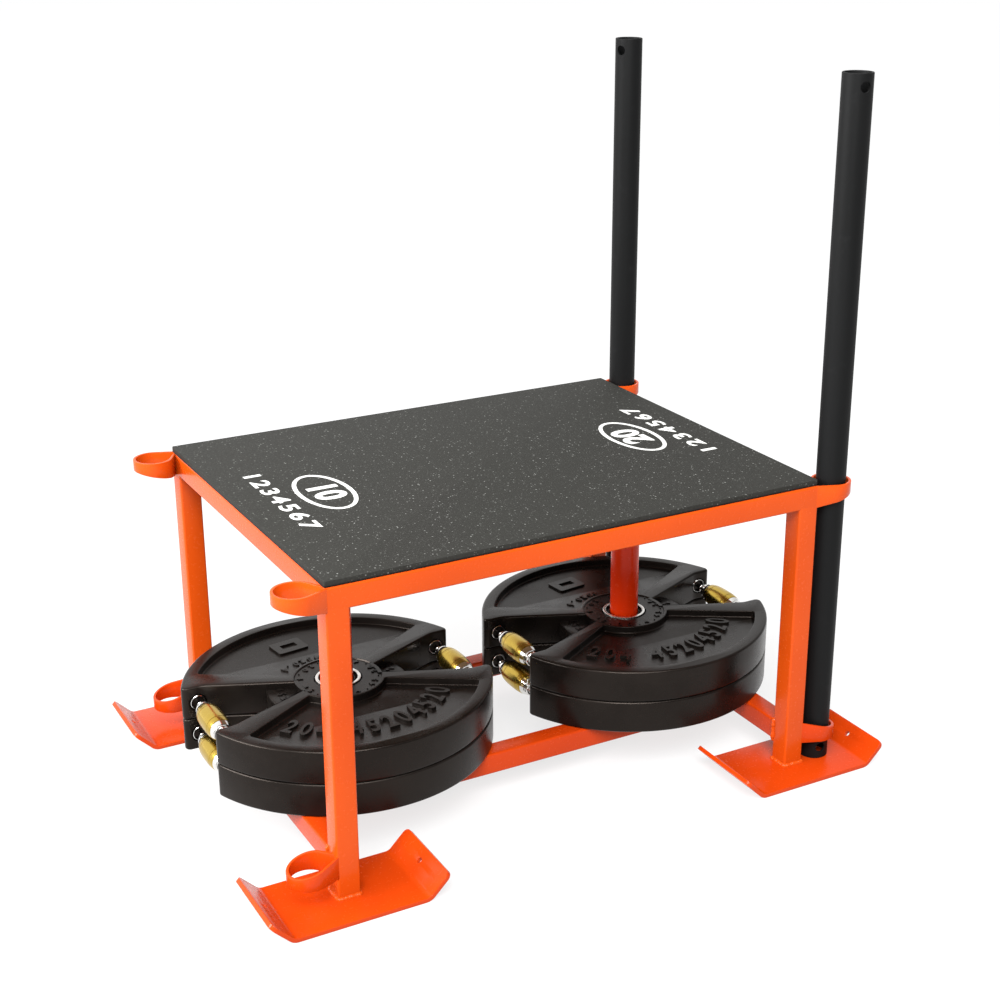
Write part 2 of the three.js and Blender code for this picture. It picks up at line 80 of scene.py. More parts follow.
# a node tree that is built from short calls
class Nodes:
    def __init__(self, tree):
        self.tree = tree
        tree.nodes.clear()

    # any node: its type, its settings, the values or links of its sockets, and which output is wanted
    def node(self, kind, settings=None, inputs=None, output=0):
        made = self.tree.nodes.new(kind)
        for key, value in (settings or {}).items():
            setattr(made, key, value)
        for key, value in (inputs or {}).items():
            self.feed(made.inputs[key], value)
        return Signal(self, made.outputs[output] if made.outputs else None)

    def feed(self, socket, value):
        if isinstance(value, Signal):
            self.tree.links.new(value.socket, socket)
        else:
            socket.default_value = (*value, 1) if socket.type == "RGBA" else value

    def place(self, scale=(1, 1, 1)):
        at = self.node("ShaderNodeTexCoord", output="Object")
        return self.node("ShaderNodeMapping", inputs={"Vector": at, "Scale": scale})

    def noise(self, at, scale, detail=3, roughness=0.5):
        return self.node("ShaderNodeTexNoise", inputs={
            "Vector": at, "Scale": scale, "Detail": detail, "Roughness": roughness})

    def ramp(self, factor, low, high, bottom=0, top=1):
        return self.node("ShaderNodeMapRange", inputs={
            "Value": factor, "From Min": low, "From Max": high, "To Min": bottom, "To Max": top})

    def mix(self, factor, first, second):
        return self.node("ShaderNodeMix", {"data_type": "RGBA"}, {0: factor, 6: first, 7: second}, output=2)

    def bump(self, height, distance, strength=1):
        return self.node("ShaderNodeBump", inputs={
            "Height": height, "Distance": distance, "Strength": strength})


# a finish: its material, and the one shader that the maps feed
class Look(Nodes):
    def __init__(self, name, **fixed):
        self.material = bpy.data.materials.new(name)
        self.material.use_nodes = True
        super().__init__(self.material.node_tree)
        self.shader = self.tree.nodes.new("ShaderNodeBsdfPrincipled")
        self.node("ShaderNodeOutputMaterial", inputs={"Surface": Signal(self, self.shader.outputs["BSDF"])})
        self.wear(**fixed)

    def wear(self, **sockets):
        for name, value in sockets.items():
            self.feed(self.shader.inputs[name.replace("_", " ")], value)
        return self.material


# colours are linear, and each roughness is a range
coatLook = {
    "colour": (0.485, 0.058, 0.0036), "deep": (0.43, 0.047, 0.0028), "roughness": (0.17, 0.29), "shine": 0.17,
    "peel": 0.000007,
}
# a darker, deeper copy of the orange coat for the low pieces under the deck: painted shade
shadedLowLook = {**coatLook, "colour": (0.44, 0.038, 0.0021), "deep": (0.385, 0.030, 0.0016)}
# a deeper red copy of the orange coat for the horns, which stand in the deck's shade: painted shade
shadedHornLook = {**coatLook, "colour": (0.70, 0.032, 0.0018), "deep": (0.62, 0.026, 0.0014)}
postLook = {
    "colour": (0.0046, 0.0047, 0.0048), "dust": (0.010, 0.010, 0.0105), "roughness": (0.42, 0.58), "shine": 0.085,
}
matLook = {
    "colour": (0.0130, 0.0127, 0.0108), "pale": (0.0195, 0.0191, 0.0165), "fleck": (0.21, 0.215, 0.20),
    # side: the cut side of the mat, painted near black as painted shade along its edge
    "crumb": (0.082, 0.084, 0.077), "side": (0.004, 0.0038, 0.0034), "roughness": (0.7, 0.82), "shine": 0.2,
    "shadedSideTo": (0.4495, 0.4515),    # heights between which the dark cut side turns into the face
    "crumbScale": 420, "grainScale": 230, "crumbFrom": 0.8, "grainFrom": 0.82,    # bits are picked above these values
}
plateLook = {
    "colour": (0.0036, 0.0028, 0.0024), "dust": (0.0092, 0.0075, 0.0064), "roughness": (0.19, 0.37), "shine": 0.17,
    "sheen": (1, 0.84, 0.74),
}
brassLook = {"colour": (0.45, 0.31, 0.055), "dull": (0.24, 0.155, 0.023), "roughness": (0.18, 0.3)}
steelLook = {"colour": (0.72, 0.70, 0.67), "dull": (0.50, 0.47, 0.44), "roughness": (0.2, 0.32)}
chromeLook = {"colour": (0.74, 0.73, 0.71), "dull": (0.5, 0.48, 0.46), "roughness": (0.08, 0.2)}
plyLook = {"colour": (0.32, 0.2, 0.1), "grain": (0.2, 0.11, 0.05), "roughness": (0.67, 0.83)}
inkLook = {"colour": (0.52, 0.52, 0.50), "worn": (0.34, 0.34, 0.325), "roughness": (0.7, 0.85)}


def powderCoat(name, s):
    look = Look(name, IOR=1.5, Specular_IOR_Level=s["shine"])
    at = look.place()
    cloud = look.noise(at, 6, 3)
    peel = look.noise(at, 220, 2)
    specks = look.noise(at, 1700, 2)
    return look.wear(
        Base_Color=look.mix(look.ramp(cloud, 0.3, 0.7), s["colour"], s["deep"]),
        Roughness=look.ramp(peel, 0.3, 0.7, *s["roughness"]),
        Normal=look.bump(peel + specks * 0.2, s["peel"]),
    )


def postCoat(s):
    look = Look("black_post_coat", IOR=1.5, Specular_IOR_Level=s["shine"])
    at = look.place()
    streak = look.noise(look.place((40, 40, 2)), 1, 4)
    grain = look.noise(at, 1400, 2)
    scuff = look.ramp(look.noise(at, 38, 6, 0.65), 0.6, 0.75)
    return look.wear(
        Base_Color=look.mix(scuff * 0.5 + look.ramp(streak, 0.3, 0.8) * 0.25, s["colour"], s["dust"]),
        Roughness=look.ramp(streak, 0.2, 0.8, *s["roughness"]),
        Normal=look.bump(grain, 0.00004),
    )


def matSheet(s):
    look = Look("flecked_mat_rubber", IOR=1.45, Specular_IOR_Level=s["shine"])
    at = look.place()

    # rubber bits: the distance to each bit's middle, and the cells that give each its own values
    def bits(scale):
        return [look.node("ShaderNodeTexVoronoi", inputs={"Vector": at, "Scale": scale}, output=i) for i in (0, 1)]

    crumbs, crumbCells = bits(s["crumbScale"])
    grains, grainCells = bits(s["grainScale"])
    grainPick = look.node("ShaderNodeSeparateColor", inputs={0: grainCells})
    grainTone = look.node("ShaderNodeSeparateColor", inputs={0: grainCells}, output=1)
    crumbPick = look.node("ShaderNodeSeparateColor", inputs={0: crumbCells})
    wobble = look.noise(at, 500, 2) * 0.18
    bigFleck = look.ramp(grains + wobble, 0.36, 0.28) * (grainPick > s["grainFrom"])
    smallFleck = look.ramp(crumbs + wobble, 0.42, 0.3) * (crumbPick > s["crumbFrom"])
    ground = look.mix(look.ramp(look.noise(at, 320, 3, 0.6), 0.3, 0.7), s["colour"], s["pale"])
    height = look.node("ShaderNodeSeparateXYZ", inputs={0: at}, output="Z")
    fleck = look.mix(grainTone, s["crumb"], s["fleck"])
    small = look.mix(smallFleck * 0.7, ground, s["crumb"])
    face = look.mix(bigFleck * 0.9, small, fleck)
    return look.wear(
        # between the given heights the face turns into the painted shade of the cut side
        Base_Color=look.mix(look.ramp(height, *s["shadedSideTo"]), s["side"], face),
        Roughness=look.ramp(look.noise(at, 300, 3), 0.3, 0.7, *s["roughness"]),
        Normal=look.bump(look.noise(at, 420, 4, 0.7) + crumbs * 0.4, 0.0003, 0.6),
    )


def plateSkin(s):
    look = Look("moulded_plate_rubber", IOR=1.5, Specular_IOR_Level=s["shine"], Specular_Tint=s["sheen"])
    at = look.place()
    cloud = look.noise(at, 14, 5, 0.6)
    scuff = look.ramp(look.noise(look.place((1, 1, 2.5)), 55, 6, 0.7), 0.56, 0.72)
    grain = look.noise(at, 900, 3, 0.6)
    return look.wear(
        Base_Color=look.mix(look.ramp(cloud, 0.35, 0.75) * 0.6 + scuff * 0.3, s["colour"], s["dust"]),
        Roughness=look.ramp(cloud, 0.3, 0.7, *s["roughness"]),
        Normal=look.bump(grain + look.noise(at, 130, 3) * 0.6, 0.00012, 0.8),
    )


def brightMetal(name, s, stretch, dullFrom):
    look = Look(name, Metallic=1)
    at = look.place()
    rings = look.noise(look.place(stretch), 1, 3, 0.6)
    blot = look.noise(at, 60, 5, 0.65)
    dull = look.ramp(blot, dullFrom, dullFrom + 0.2)
    return look.wear(
        Base_Color=look.mix(dull, s["colour"], s["dull"]),
        Roughness=look.ramp(rings, 0.2, 0.8, *s["roughness"]) + dull * 0.12,
        Normal=look.bump(rings, 0.00002, 0.6),
    )


def plyBoard(s):
    look = Look("plywood_board", IOR=1.45)
    grain = look.noise(look.place((3, 60, 60)), 1, 5, 0.6)
    ring = look.node("ShaderNodeTexWave", {"bands_direction": "Y"}, {
        "Vector": look.place((0.4, 6, 6)), "Scale": 3, "Distortion": 7, "Detail": 3})
    return look.wear(
        Base_Color=look.mix(grain * 0.6 + ring * 0.35, s["colour"], s["grain"]),
        Roughness=look.ramp(grain, 0.2, 0.8, *s["roughness"]),
        Normal=look.bump(grain, 0.0002, 0.5),
    )


def printInk(s):
    look = Look("white_print_ink", IOR=1.45)
    at = look.place()
    rub = look.ramp(look.noise(at, 180, 5, 0.7), 0.5, 0.72)
    return look.wear(
        Base_Color=look.mix(rub, s["colour"], s["worn"]),
        Roughness=look.ramp(rub, 0, 1, *s["roughness"]),
        Normal=look.bump(look.noise(at, 260, 4, 0.7), 0.0003, 0.5),
    )


orange = powderCoat("orange_powder_coat", coatLook)
shadedLowOrange = powderCoat("low_shaded_powder_coat", shadedLowLook)
shadedHornOrange = powderCoat("horn_shaded_powder_coat", shadedHornLook)
black = postCoat(postLook)
matRubber = matSheet(matLook)
plateRubber = plateSkin(plateLook)
brass = brightMetal("polished_brass", brassLook, (30, 900, 30), 0.6)
steel = brightMetal("hub_steel", steelLook, (500, 500, 30), 0.5)
chrome = brightMetal("pin_chrome", chromeLook, (60, 900, 60), 0.62)
plywood = plyBoard(plyLook)
ink = printInk(inkLook)
print("finishes made")


def linked(name, data):
    made = bpy.data.objects.new(name, data)
    bpy.context.scene.collection.objects.link(made)
    return made


def meshObject(name, mesh, finish):
    mesh.materials.clear()
    mesh.materials.append(finish)
    return linked(name, mesh)


def fromFaces(name, points, faces, finish):
    mesh = bpy.data.meshes.new(name)
    mesh.from_pydata([tuple(p) for p in points], [], faces)
    mesh.validate()
    return meshObject(name, mesh, finish)


# closed loops of equal length, joined in order; the last joins the first when ringed
def skin(loops, ringed=True):
    count = len(loops[0])
    points = [p for loop in loops for p in loop]
    faces = []
    for k in range(len(loops) if ringed else len(loops) - 1):
        here, there = k * count, ((k + 1) % len(loops)) * count
        for i in range(count):
            j = (i + 1) % count
            faces.append((here + i, here + j, there + j, there + i))
    return points, faces


# skin() with both ends closed
def capped(loops):
    points, faces = skin(loops, ringed=False)
    count, total = len(loops[0]), len(points)
    return points, faces + [tuple(reversed(range(count))), tuple(range(total - count, total))]


def raised(loop, z):
    return [Vector((p.x, p.y, z)) for p in loop]


# joins doubles, turns faces outward and marks edges above an angle in degrees as sharp
def tidy(made, angle=35):
    work = bmesh.new()
    work.from_mesh(made.data)
    bmesh.ops.remove_doubles(work, verts=work.verts, dist=1e-6)
    bmesh.ops.dissolve_degenerate(work, edges=work.edges, dist=1e-7)
    bmesh.ops.recalc_face_normals(work, faces=work.faces)
    for face in work.faces:
        face.smooth = True
    for edge in work.edges:
        edge.smooth = len(edge.link_faces) == 2 and edge.calc_face_angle(0) < radians(angle)
    work.to_mesh(made.data)
    work.free()
    return made


def evaluated(made):
    graph = bpy.context.evaluated_depsgraph_get()
    return bpy.data.meshes.new_from_object(made.evaluated_get(graph))


def bake(made):
    mesh, old = evaluated(made), made.data
    made.modifiers.clear()
    made.data = mesh
    bpy.data.meshes.remove(old)
    mesh.name = made.name
    return made


def bevel(made, width, steps, angle):
    rounding = made.modifiers.new("rounding", "BEVEL")
    rounding.width = width
    rounding.segments = steps
    rounding.limit_method = "ANGLE"
    rounding.angle_limit = radians(angle)
    return tidy(bake(made))


# takes the cutters out of a piece, and drops them
def cut(made, cutters):
    for cutter in cutters:
        cutting = made.modifiers.new("cut", "BOOLEAN")
        cutting.object = cutter
        cutting.operation = "DIFFERENCE"
        cutting.solver = "EXACT"
    bpy.context.view_layer.update()
    bake(made)
    for cutter in cutters:
        drop(cutter)
    return made


def move(made, matrix):
    made.data.transform(matrix)
    if matrix.determinant() < 0:
        made.data.flip_normals()
    return made


def shift(x, y, z):
    return Matrix.Translation((x, y, z))


def copyOf(made, name, matrix):
    twin = linked(name, made.data.copy())
    twin.data.name = name
    return move(twin, matrix)


def drop(made):
    bpy.data.meshes.remove(made.data)


def arc(radius, start, end, steps, centre=(0, 0)):
    return [Vector((centre[0] + radius * cos(start + (end - start) * i / steps),
                    centre[1] + radius * sin(start + (end - start) * i / steps)))
            for i in range(steps + 1)]


def circle(radius, steps):
    return arc(radius, 0, 2 * pi, steps)[:-1]


def roundedRectangle(width, height, radius, steps):
    x, y = width / 2 - radius, height / 2 - radius
    middles = ((x, -y), (x, y), (-x, y), (-x, -y))
    return [p for i, middle in enumerate(middles)
            for p in arc(radius, (i - 1) * quarter, i * quarter, steps, middle)]


def rod(name, radius, start, end, sides):
    turn = (end - start).to_track_quat("Z", "Y").to_matrix()
    rims = [[base + turn @ p for p in raised(circle(radius, sides), 0)] for base in (start, end)]
    return fromFaces(name, *capped(rims), steel)


# the finished piece rides on a body, in the place of a node where it has one
def fit(made, node, body):
    if node:
        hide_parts(node)
    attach(made, body)


# a node group for a modifier: its named inputs, the nodes that grow() adds, and one realized and painted mesh
def pieceGroup(name, inputs, grow):
    tree = bpy.data.node_groups.new(name, "GeometryNodeTree")
    group = Nodes(tree)
    keys = {}
    inputs = {**inputs, "Finish": "Material"}
    for label, kind in inputs.items():
        socket = tree.interface.new_socket(label, in_out="INPUT", socket_type="NodeSocket" + kind)
        keys[label] = socket.identifier
    tree.interface.new_socket("Piece", in_out="OUTPUT", socket_type="NodeSocketGeometry")
    start = tree.nodes.new("NodeGroupInput")
    given = {label: Signal(group, start.outputs[label]) for label in inputs}
    whole = group.node("GeometryNodeRealizeInstances", inputs={"Geometry": grow(group, given)})
    painted = group.node("GeometryNodeSetMaterial", inputs={"Geometry": whole, "Material": given["Finish"]})
    group.node("NodeGroupOutput", inputs={"Piece": painted})
    return tree, keys


# the mesh that a node group makes of an object's lines; values go by the names of the group's inputs
def grown(name, points, edges, finish, group, values):
    mesh = bpy.data.meshes.new(name)
    mesh.from_pydata(points, edges, [])
    made = meshObject(name, mesh, finish)
    tree, keys = group
    growing = made.modifiers.new(tree.name, "NODES")
    growing.node_group = tree
    growing[keys["Finish"]] = finish
    for label in values.keys() & keys.keys():
        growing[keys[label]] = values[label]
    return bake(made)


# the profile is swept round the Z axis
def latheNodes(group, given):
    outline = group.node("GeometryNodeMeshToCurve", inputs={"Mesh": given["Profile"]})
    path = group.node("GeometryNodeCurvePrimitiveCircle", inputs={
        "Resolution": given["Sides"], "Radius": given["Core Radius"]})
    return group.node("GeometryNodeCurveToMesh", inputs={"Curve": path, "Profile Curve": outline})


lathe = pieceGroup("lathe", {"Profile": "Geometry", "Sides": "Int", "Core Radius": "Float"}, latheNodes)
coreRadius = 1 * mm


# profile: closed list of (radius, height), turned round Z
def turned(name, profile, sides, finish, angle=30):
    points = [(coreRadius - radius, -height, 0) for radius, height in profile]
    edges = [(i, (i + 1) % len(points)) for i in range(len(points))]
    return tidy(grown(name, points, edges, finish, lathe, {"Sides": sides, "Core Radius": coreRadius}), angle)


# a closed profile with its corners rounded
def rounded(points, radius, steps):
    out = []
    count = len(points)
    for i in range(count):
        here = Vector(points[i])
        before, after = Vector(points[i - 1]) - here, Vector(points[(i + 1) % count]) - here
        reach = min(radius, before.length * 0.45, after.length * 0.45)
        start, end = here + before.normalized() * reach, here + after.normalized() * reach
        for k in range(steps + 1):
            t = k / steps
            out.append(tuple(start.lerp(here, t).lerp(here.lerp(end, t), t)))
    return out


frameSizes = {
    "length": 755 * mm, "width": 595 * mm, "railTop": 448 * mm, "beamTop": 70 * mm, "side": 32 * mm, "wall": 3 * mm,
    "corner": 3 * mm, "innerCorner": 1 * mm, "cornerSteps": 6, "beamSpread": 276 * mm, "bearerWidth": 50 * mm,
    "gap": 0.3 * mm, "hornSpread": 490 * mm, "footTop": 6 * mm,
}
legX = (frameSizes["length"] - frameSizes["side"]) / 2
legY = (frameSizes["width"] - frameSizes["side"]) / 2
hornX = frameSizes["hornSpread"] / 2
plateFloor = frameSizes["beamTop"] + frameSizes["gap"]    # the horns and plates stand here


# square tube from start to end; its outer side faces outward, and a mitre is cut back toward the inner side
def squareTube(name, start, end, outward, width, mitred, finish):
    start, end, outward = Vector(start), Vector(end), Vector(outward)
    along = (end - start).normalized()
    up = along.cross(outward)
    height, wall, corner, innerCorner, steps = (
        frameSizes[key] for key in ("side", "wall", "corner", "innerCorner", "cornerSteps"))
    outer = roundedRectangle(width, height, corner, steps)
    inner = roundedRectangle(width - 2 * wall, height - 2 * wall, innerCorner, steps)

    def loop(base, section, way):
        out = []
        for p in section:
            back = (width / 2 - p[0]) * way if mitred else 0
            out.append(base + outward * p[0] + up * p[1] + along * back)
        return out

    loops = [loop(start, outer, 1), loop(end, outer, -1), loop(end, inner, -1), loop(start, inner, 1)]
    return tidy(fromFaces(name, *skin(loops), finish))


def tubeFrame():
    f = frameSizes
    side, gap, endX, endY = f["side"], f["gap"], f["length"] / 2, f["width"] / 2
    railZ, beamZ = f["railTop"] - side / 2, f["beamTop"] - side / 2
    betweenLegs, betweenEnds = endY - side - gap, endX - side - gap
    betweenBeams = f["beamSpread"] / 2 - side / 2 - gap

    def tube(node, start, end, outward, finish, mitred=False, width=side):
        fit(squareTube(node + "_tube", start, end, outward, width, mitred, finish), node, "frame")

    def alongX(node, y, z, reach, *more):
        tube(node, (-reach, y, z), (reach, y, z), (0, copysign(1, y), 0), *more)

    def alongY(node, x, z, reach, *more):
        tube(node, (x, -reach, z), (x, reach, z), (copysign(1, x), 0, 0), *more)

    for place, sign in rows:
        alongX("rail_" + place, sign * legY, railZ, endX, orange, True)
    for place, sign in stacks:
        alongY("rail_" + place, sign * legX, railZ, endY, orange, True)
    for place, sx, sy in corners:
        x, y = sx * legX, sy * legY
        tube("leg_" + place, (x, y, f["footTop"] + gap), (x, y, f["railTop"] - side + f["corner"]), (sx, 0, 0), orange)
    # the low beams and bearers take the darker copy of the coat, which paints their shade under the deck
    for place, sign in stacks:
        alongY("cross_beam_" + place, sign * legX, beamZ, betweenLegs, shadedLowOrange)
        alongY("horn_bearer_" + place, sign * hornX, beamZ, betweenBeams, shadedLowOrange, False, f["bearerWidth"])
    for place, sign in rows:
        alongX("lower_beam_" + place, sign * f["beamSpread"] / 2, beamZ, betweenEnds, shadedLowOrange)


tubeFrame()
print("tube frame made")


footSizes = {
    "length": 254 * mm, "width": 130 * mm, "thick": frameSizes["footTop"], "flat": 178 * mm, "bendRadius": 12 * mm,
    "bendAngle": pi / 4, "cornerRadius": 9 * mm, "outset": 3 * mm, "hole": 8 * mm, "edge": 0.9 * mm,
    "bendSteps": 10, "tipSteps": 8, "drillReach": 15 * mm,
}


# the plate is laid out from its middle to one end as stations, and mirrored
def footShape():
    s = footSizes
    outer, start, angle = s["bendRadius"] + s["thick"], s["flat"] / 2, s["bendAngle"]
    # each station: middle of the underside, normal, how much of the rounded corner is gone
    stations = [(Vector((start * i / 3, 0)), Vector((0, 1)), 0) for i in range(4)]
    for i in range(1, s["bendSteps"] + 1):
        turn = angle * i / s["bendSteps"]
        sine, cosine = sin(turn), cos(turn)
        stations.append((Vector((start + outer * sine, outer * (1 - cosine))), Vector((-sine, cosine)), 0))
    bendEnd, lean, _ = stations[-1]
    along = Vector((cos(angle), sin(angle)))
    slope = (s["length"] / 2 - bendEnd.x) / along.x
    for i in range(1, 5):
        stations.append((bendEnd + along * (slope - s["cornerRadius"]) * i / 4, lean, 0))
    cornerStart = stations[-1][0]
    for i in range(1, s["tipSteps"] + 1):
        turn = quarter * i / s["tipSteps"]
        stations.append((cornerStart + along * s["cornerRadius"] * sin(turn), lean, 1 - cos(turn)))
    mirror = [(Vector((-base.x, base.y)), Vector((-normal.x, normal.y)), gone)
              for base, normal, gone in reversed(stations[1:])]
    loops = []
    for base, normal, gone in mirror + stations:
        half = s["width"] / 2 - s["cornerRadius"] * gone
        top = base + normal * s["thick"]
        loops.append([Vector((p.x, y, p.y)) for p, y in ((base, -half), (base, half), (top, half), (top, -half))])
    # the feet take the darker copy of the coat: painted shade
    made = tidy(fromFaces("foot_shape", *capped(loops), shadedLowOrange))
    middle = bendEnd + along * slope / 2 + lean * s["thick"] / 2
    cutters = []
    for side in (-1, 1):
        centre = Vector((side * middle.x, 0, middle.y))
        way = Vector((-side * sin(angle), 0, cos(angle))) * s["drillReach"]
        cutters.append(rod("hole", s["hole"] / 2, centre - way, centre + way, 32))
    cut(made, cutters)
    return bevel(made, s["edge"], 3, 40)


def skiFeet():
    shape = footShape()
    x, y = legX + footSizes["outset"], legY + footSizes["outset"]
    for place, sx, sy in corners:
        made = copyOf(shape, "foot_" + place + "_plate", shift(sx * x, sy * y, 0))
        fit(made, "foot_" + place, "frame")
    drop(shape)


skiFeet()
print("feet made")


ringSizes = {
    "inner": 50 * mm, "strip": 4 * mm, "reach": 34 * mm, "inset": 16.5 * mm, "height": 32 * mm, "tip": 16 * mm,
    "steps": 44, "edge": 0.7 * mm, "root": 2.6 * mm,    # the strip starts this far inside the rail's end
}


def stripRing(name, signX, signY, upper):
    s = ringSizes
    gap = frameSizes["gap"]
    outer = s["inner"] / 2 + s["strip"]
    centre = Vector((s["reach"], -s["inset"]))
    sideStart, innerStart = Vector((-s["root"], 0)), Vector((-gap, -s["inset"]))
    toSide, toInner = centre - sideStart, centre - innerStart
    sideTurn = atan2(toSide.y, toSide.x) + asin(outer / toSide.length)
    innerTurn = -asin(outer / toInner.length)
    start, end = sideTurn + quarter, innerTurn - quarter
    outline = [sideStart] + arc(outer, start, end, s["steps"], centre)
    outline += [innerStart, Vector((-gap, innerStart.y + s["strip"] / cos(innerTurn)))]
    outline += arc(s["inner"] / 2, end, start, s["steps"], centre)
    outline += [Vector((-s["root"], -s["strip"] / cos(sideTurn)))]
    reach = s["reach"] + outer

    # one edge of the strip: an upper ring narrows toward its tip from below, a lower one from above
    def edge(top):
        out = []
        for p in outline:
            z = s["height"] if top else 0
            if top != upper:
                z += (s["height"] - s["tip"]) * p.x / reach * (-1 if top else 1)
            out.append(Vector((p.x * signX, p.y * signY, z)))
        return out

    count = len(outline)
    points, faces = skin([edge(False), edge(True)], ringed=False)
    # the flat edges of the strip run as quads between its outer and inner outline
    for base in (0, count):
        for i in range(count // 2 - 1):
            faces.append((base + i, base + i + 1, base + count - 2 - i, base + count - 1 - i))
    # a lower ring takes the darker copy of the coat: painted shade under the deck
    return fromFaces(name, points, faces, orange if upper else shadedLowOrange)


def postRings():
    f = frameSizes
    for place, sx, sy in corners:
        for level, top in (("upper", f["railTop"]), ("lower", f["beamTop"])):
            node = f"{level}_ring_{place}"
            made = stripRing(node + "_strip", sx, sy, level == "upper")
            move(made, shift(sx * f["length"] / 2, sy * f["width"] / 2, top - ringSizes["height"]))
            bevel(tidy(made), ringSizes["edge"], 2, 50)
            fit(made, node, "frame")


postRings()
print("rings made")


markThick = 0.25 * mm
deckSizes = {
    "length": 755 * mm, "width": 589 * mm, "thick": 8.5 * mm, "corner": 2.5 * mm, "edge": 0.7 * mm,
    "markSink": 0.05 * mm, "ringPlace": 253 * mm, "ringHalf": (39 * mm, 75 * mm), "ringLine": 6.5 * mm,
    "number": {"size": 60 * mm, "rise": markThick, "bold": 2.2 * mm, "wide": 1.1},
    "row": {"words": "1234567", "pitch": 36 * mm, "size": 35 * mm, "rise": markThick, "bold": 0.9 * mm, "wide": 1.6},
    "rowPlace": 321 * mm,
}


def rubberMat():
    s = deckSizes
    base = frameSizes["railTop"] + frameSizes["gap"]
    plan = roundedRectangle(s["length"], s["width"], s["corner"], 6)
    loops = [raised(plan, z) for z in (base, base + s["thick"])]
    made = tidy(fromFaces("rubber_mat_sheet", *capped(loops), matRubber))
    bevel(made, s["edge"], 3, 40)
    fit(made, "rubber_mat", "frame")
    return base + s["thick"]


# the signs of a row, each with its distance from the row's middle
def spaced(row):
    middle = (len(row["words"]) - 1) / 2
    return [(sign, (i - middle) * row["pitch"]) for i, sign in enumerate(row["words"]) if sign != " "]


# figures as a mesh that stands on Z = 0; bold thickens their strokes, wide stretches them
def figures(name, words, s, finish, sink=0):
    thick = s["rise"] + sink
    curve = bpy.data.curves.new(name, "FONT")
    curve.body = words
    curve.size = s["size"]
    curve.align_x = curve.align_y = "CENTER"
    curve.extrude = thick / 2
    curve.offset = s["bold"]
    curve.resolution_u = 5
    writing = linked(name, curve)
    bpy.context.view_layer.update()
    mesh = evaluated(writing)
    bpy.data.objects.remove(writing)
    bpy.data.curves.remove(curve)
    made = meshObject(name, mesh, finish)
    move(made, shift(0, 0, thick / 2) @ Matrix.Diagonal((s["wide"], 1, 1, 1)))
    return tidy(made)


# one mesh of several, which are used up
def joined(name, parts, finish):
    work = bmesh.new()
    for part in parts:
        work.from_mesh(part.data)
        drop(part)
    mesh = bpy.data.meshes.new(name)
    work.to_mesh(mesh)
    work.free()
    return meshObject(name, mesh, finish)


# each end of the mat has an oval with a plain number, and a row of plain numbers nearer to the edge
def deckMarks(top):
    s = deckSizes
    line, (halfX, halfY) = s["ringLine"], s["ringHalf"]
    loops = [[Vector((p.x * (halfX - inward), p.y * (halfY - inward), z)) for p in circle(1, 96)]
             for inward, z in ((0, 0), (0, markThick), (line, markThick), (line, 0))]
    for number, (place, sx) in enumerate(stacks, 1):
        outward = Matrix.Rotation(quarter * sx, 4, "Z")
        parts = [tidy(fromFaces("mark_oval", *skin(loops), ink)),
                 move(figures("mark_number", str(10 * number), s["number"], ink), outward)]
        for sign, along in spaced(s["row"]):
            figure = figures("mark_row", sign, s["row"], ink)
            move(figure, shift(along, s["ringPlace"] - s["rowPlace"], 0))
            parts.append(move(figure, outward))
        mark = joined(f"deck_mark_{place}", parts, ink)
        move(mark, shift(sx * s["ringPlace"], 0, top - s["markSink"]))
        fit(mark, None, "frame")


deckMarks(rubberMat())
# three nodes of the CAD stay as they are and only get a finish
for node, finish in (("deck_board", plywood), ("deck_ledge_near", orange), ("deck_ledge_far", orange)):
    nodes[node].data.materials.clear()
    nodes[node].data.materials.append(finish)
print("deck made")


hornSizes = {"radius": 24 * mm, "wall": 4 * mm, "top": 325 * mm, "edge": 1.5 * mm, "sides": 72}
postSizes = {
    "radius": 23.5 * mm, "wall": 3 * mm, "foot": 6.3 * mm, "top": 1018 * mm, "hole": 15 * mm, "holeInset": 18 * mm,
    "edge": 1.3 * mm, "sides": 84, "x": 411.5 * mm, "y": 281 * mm, "drillReach": 40 * mm,
    "facing": {"near": -1.71, "far": -2.775},    # where the cross holes look, radians
}


def roundTube(name, s, foot, finish):
    inner, outer, top = s["radius"] - s["wall"], s["radius"], s["top"]
    profile = rounded([(inner, foot), (outer, foot), (outer, top), (inner, top)], s["edge"], 4)
    return turned(name, profile, s["sides"], finish)


def weightHorns():
    for place, sign in stacks:
        # the horns take the deeper red copy of the coat: painted shade under the deck
        made = roundTube(f"weight_horn_{place}_tube", hornSizes, plateFloor, shadedHornOrange)
        move(made, shift(sign * hornX, 0, 0))
        fit(made, f"weight_horn_{place}", "frame")


def pushPosts():
    s = postSizes
    for place, sign in rows:
        made = roundTube(f"push_post_{place}_tube", s, s["foot"], black)
        facing = s["facing"][place]
        reach = Vector((cos(facing), sin(facing), 0)) * s["drillReach"]
        middles = [Vector((0, 0, height)) for height in (s["foot"] + s["holeInset"], s["top"] - s["holeInset"])]
        cut(made, [rod("hole", s["hole"] / 2, middle - reach, middle + reach, 40) for middle in middles])
        tidy(made, 30)
        move(made, shift(s["x"], sign * s["y"], 0))
        fit(made, f"push_post_{place}", f"post_{place}")


weightHorns()
pushPosts()
print("horns and posts made")


